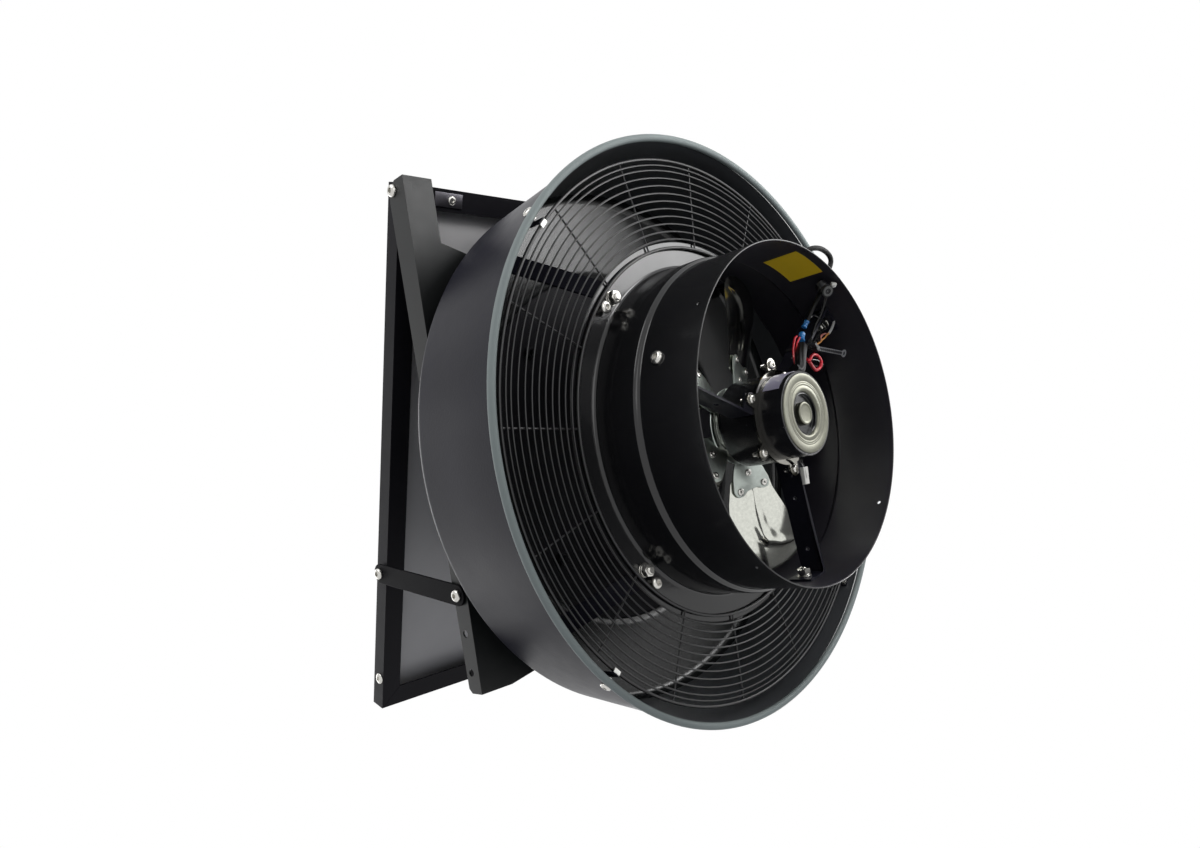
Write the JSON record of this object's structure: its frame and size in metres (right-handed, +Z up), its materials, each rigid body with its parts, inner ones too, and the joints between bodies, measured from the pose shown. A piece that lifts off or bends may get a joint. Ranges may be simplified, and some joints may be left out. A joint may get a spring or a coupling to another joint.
{
  "type": "solar roof ventilation fan",
  "caption": "Round roof ventilation fan with a weather dome, ring guard, throat collar, motor-driven fan and a tilting solar panel on a bracket above.",
  "frame": {"origin": "on the fan axis, in the plane of the throat collar's bottom rim", "axes": "+Z up along the fan axis towards the solar panel, +Y towards the panel's hinge line, +X along that line"},
  "size_m": [0.674, 0.674, 0.543],
  "materials": {
    "black_paint": "satin",
    "plated_steel": "satin",
    "clip_steel": "satin",
    "aluminium_sheet": "polished",
    "cap_metal": "turned",
    "black_anodised": "satin",
    "copper_winding": "varnished",
    "rotor_steel": "plain",
    "black_plastic": "matt",
    "rubber": "matt",
    "red_wire": "gloss",
    "blue_crimp": "gloss",
    "white_plastic": "satin",
    "yellow_label": "satin",
    "silver_label": "satin",
    "solar_glass": "gloss",
    "backsheet": "satin"
  },
  "bodies": {
    "housing": {"throat_collar": "black_paint", "dome_hood": "black_paint", "dome_leg_1": "black_paint", "dome_leg_2": "black_paint", "dome_leg_3": "black_paint", "dome_leg_4": "black_paint", "leg_bolts": "plated_steel", "leg_nuts": "plated_steel", "grille": "black_paint", "grille_clips": "clip_steel", "grille_clip_screws": "plated_steel", "grille_ring_screws": "plated_steel", "motor_can": "black_paint", "motor_end_cap": "cap_metal", "motor_rear_cup": "black_paint", "motor_clamp_ring": "black_paint", "motor_stator": "copper_winding", "motor_bearings": "plated_steel", "motor_arm_1": "black_paint", "motor_arm_2": "black_paint", "motor_arm_3": "black_paint", "ear_screws": "plated_steel", "ear_nuts": "plated_steel", "arm_wall_bolts": "plated_steel", "arm_wall_nuts": "plated_steel", "motor_label": "silver_label", "motor_lead": "rubber", "splice_connectors": "blue_crimp", "red_leads": "red_wire", "cable_tie": "black_plastic", "dc_socket": "black_plastic", "two_pin_plug": "white_plastic", "solar_cable": "rubber", "cable_glands": "rubber", "wall_label": "yellow_label", "panel_bracket": "black_paint", "bracket_bolts": "plated_steel"},
    "fan": {"motor_shaft": "plated_steel", "motor_rotor": "rotor_steel", "fan_hub": "plated_steel", "fan_spider": "plated_steel", "fan_blade_1": "aluminium_sheet", "fan_blade_2": "aluminium_sheet", "fan_blade_3": "aluminium_sheet", "fan_blade_4": "aluminium_sheet", "fan_blade_5": "aluminium_sheet", "blade_rivets": "plated_steel"},
    "panel": {"frame_rails_side": "black_anodised", "frame_rails_end": "black_anodised", "panel_laminate": "solar_glass", "panel_backsheet": "backsheet", "junction_box": "black_plastic", "rail_plates": "black_paint", "frame_screws": "plated_steel", "hinge_bolts": "plated_steel", "strap_upper_bolts": "plated_steel"},
    "strap_left": {"tilt_strap_left": "black_paint", "strap_bolt_left": "plated_steel"},
    "strap_right": {"tilt_strap_right": "black_paint", "strap_bolt_right": "plated_steel"}
  },
  "joints": [
    {"name": "fan_spin", "type": "hinge", "parent": "housing", "child": "fan", "pos_m": [0, 0, 0.093], "axis": [0, 0, 1], "continuous": true},
    {"name": "panel_tilt", "type": "hinge", "parent": "housing", "child": "panel", "pos_m": [0, 0.3126, 0.3138], "axis": [1, 0, 0], "range_deg": [0, 18]},
    {"name": "strap_left_turn", "type": "hinge", "parent": "panel", "child": "strap_left", "pos_m": [-0.2663, -0.11198, 0.4659], "axis": [1, 0, 0], "range_deg": [-98, 0]},
    {"name": "strap_right_turn", "type": "hinge", "parent": "panel", "child": "strap_right", "pos_m": [0.2663, -0.11198, 0.4659], "axis": [1, 0, 0], "range_deg": [-98, 0]}
  ],
  "couplings": [
    {"joint": "strap_left_turn", "follows": "panel_tilt", "ratio": -5.4},
    {"joint": "strap_right_turn", "follows": "panel_tilt", "ratio": -5.4}
  ]
}
